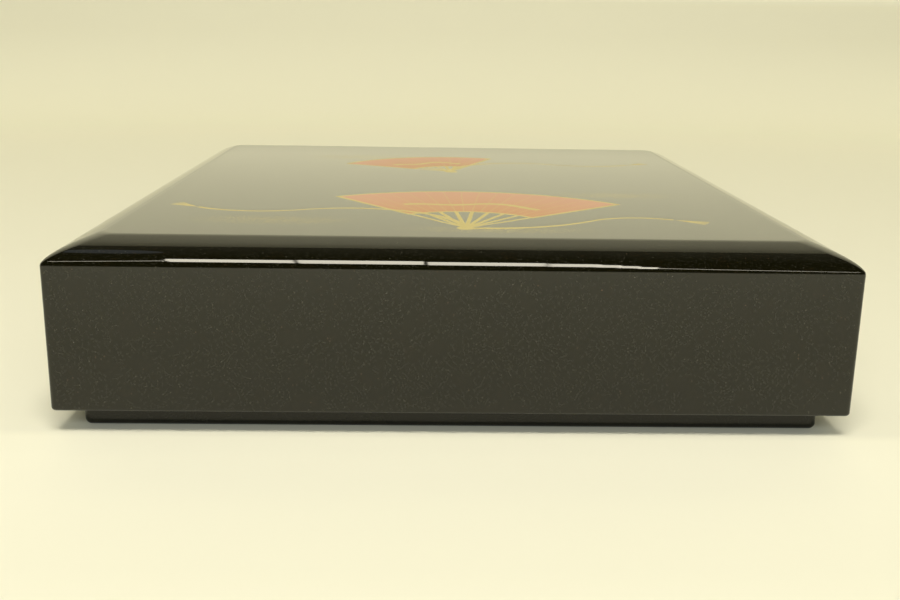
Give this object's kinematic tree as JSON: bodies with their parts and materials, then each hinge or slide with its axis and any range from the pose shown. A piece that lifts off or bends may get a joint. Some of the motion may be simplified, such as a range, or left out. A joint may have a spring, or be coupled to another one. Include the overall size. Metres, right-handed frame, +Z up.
{
  "type": "lacquer document box",
  "caption": "Flat rectangular lacquered box with a deep overlapping lid, sloped shoulders and a painted picture on top.",
  "frame": {"origin": "centre of the box body's underside, where the box stands", "axes": "+X across the narrow front, +Y along the length, +Z up; the narrow front faces -Y"},
  "size_m": [0.27, 0.3, 0.0657],
  "materials": {
    "lid_lacquer": "polished black lacquer, high gloss",
    "body_lacquer": "black lacquer, gloss"
  },
  "bodies": {
    "root": {"lid": "lid_lacquer", "box_body": "body_lacquer"}
  },
  "joints": []
}
